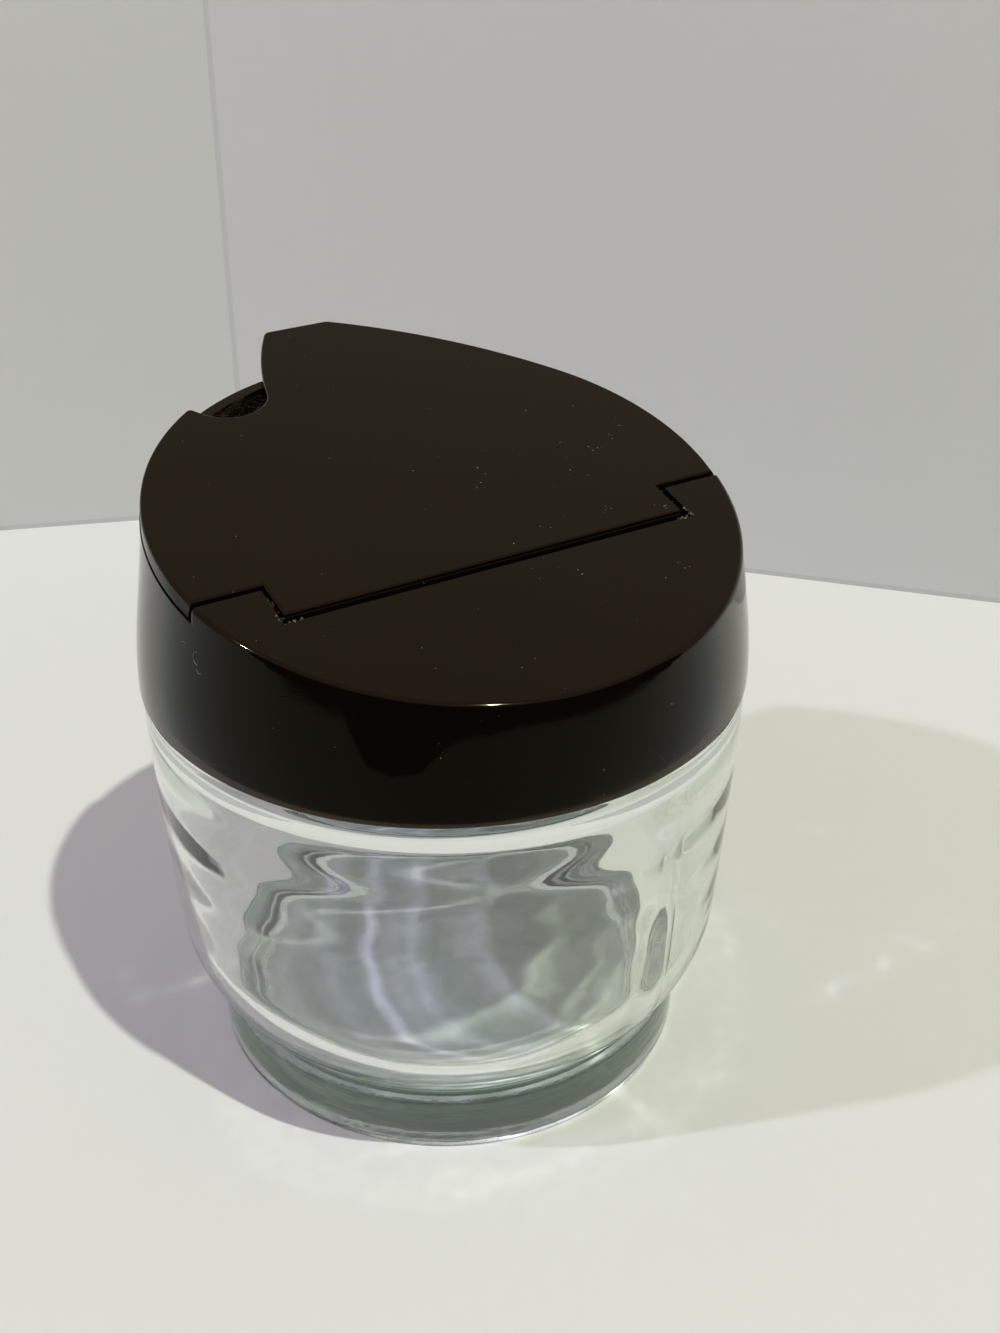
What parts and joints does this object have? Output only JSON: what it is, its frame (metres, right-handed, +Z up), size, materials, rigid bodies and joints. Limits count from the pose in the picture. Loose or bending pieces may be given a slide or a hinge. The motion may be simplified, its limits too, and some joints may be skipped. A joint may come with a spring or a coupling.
{
  "type": "condiment jar",
  "caption": "Low clear glass condiment jar with a dark brown screw cap, a slanted hinged flap, a beak and a spoon notch.",
  "frame": {"origin": "centre of the underside of the foot, on the jar's axis", "axes": "+Z up along the jar's axis; the beak points to -Y and the hinge lies towards +Y, its line along X"},
  "size_m": [0.08, 0.0849, 0.0884],
  "materials": {
    "clear_glass": "clear, polished, faint green tint where thick",
    "brown_plastic": "moulded, glossy with fine handling marks",
    "seal_foam": "soft matt foam"
  },
  "bodies": {
    "jar": {"glass_jar": "clear_glass"},
    "seal": {"sealing_ring": "seal_foam"},
    "cap": {"screw_cap": "brown_plastic"},
    "flap": {"hinged_flap": "brown_plastic"}
  },
  "joints": [
    {"name": "cap_lift", "type": "slide", "parent": "jar", "child": "seal", "axis": [0, 0, 1], "range_m": [0, 0.015]},
    {"name": "cap_turn", "type": "hinge", "parent": "seal", "child": "cap", "pos_m": [0, 0, 0.058], "axis": [0, 0, 1], "range_deg": [0, 1080]},
    {"name": "flap_hinge", "type": "hinge", "parent": "cap", "child": "flap", "pos_m": [0, 0.0107, 0.07632], "axis": [-1, 0, 0], "range_deg": [0, 115]}
  ],
  "couplings": [
    {"joint": "cap_lift", "follows": "cap_turn", "m_per_rad": 0.00079577}
  ]
}
